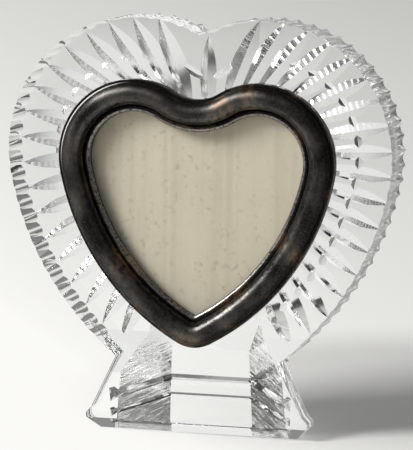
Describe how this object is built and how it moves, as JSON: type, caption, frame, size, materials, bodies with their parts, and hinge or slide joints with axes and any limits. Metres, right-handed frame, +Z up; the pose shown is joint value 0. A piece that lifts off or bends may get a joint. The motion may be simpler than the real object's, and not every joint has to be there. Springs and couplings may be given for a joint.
{
  "type": "heart shaped photo frame",
  "caption": "Free-standing cut crystal heart with a scalloped rim and faceted foot, holding a heart shaped metal picture insert with a removable back.",
  "frame": {"origin": "centre of the foot's underside", "axes": "+Z up, -Y the way the picture faces, +X to the viewer's right"},
  "size_m": [0.125, 0.0336, 0.1314],
  "materials": {
    "crystal": "polished clear lead crystal",
    "tarnished_silver": "silver plate, heavily tarnished, rubbed bright on edges",
    "sleeve_metal": "plain plated sheet",
    "clear_grip": "clear soft strip",
    "picture_glass": "thin clear glass",
    "photo_paper": "blank cream print paper, faintly laid",
    "grey_card": "grey board",
    "foam": "soft white foam",
    "hardboard": "brown hardboard",
    "velvet": "black short-pile velvet",
    "ribbon": "black satin ribbon"
  },
  "bodies": {
    "crystal": {"crystal_body": "crystal"},
    "insert": {"bezel": "tarnished_silver", "insert_sleeve": "sleeve_metal", "grip_gasket": "clear_grip", "glazing": "picture_glass"},
    "picture_stack": {"picture": "photo_paper", "backing_card": "grey_card", "pressure_pad": "foam"},
    "back": {"back_board": "hardboard", "back_velvet": "velvet"},
    "tab": {"pull_tab": "ribbon"}
  },
  "joints": [
    {"name": "insert_slide", "type": "slide", "parent": "crystal", "child": "insert", "axis": [0, -0.9994, 0.0349], "range_m": [0, 0.02]},
    {"name": "back_slide", "type": "slide", "parent": "insert", "child": "back", "axis": [0, 0.9994, -0.0349], "range_m": [0, 0.04]},
    {"name": "stack_slide", "type": "slide", "parent": "insert", "child": "picture_stack", "axis": [0, 0.9994, -0.0349], "range_m": [0, 0.02]},
    {"name": "tab_fold", "type": "hinge", "parent": "back", "child": "tab", "pos_m": [0, 0.00317, 0.08044], "axis": [1, 0, 0], "range_deg": [0, 100]}
  ],
  "couplings": [
    {"joint": "stack_slide", "follows": "back_slide", "ratio": 0.5}
  ]
}
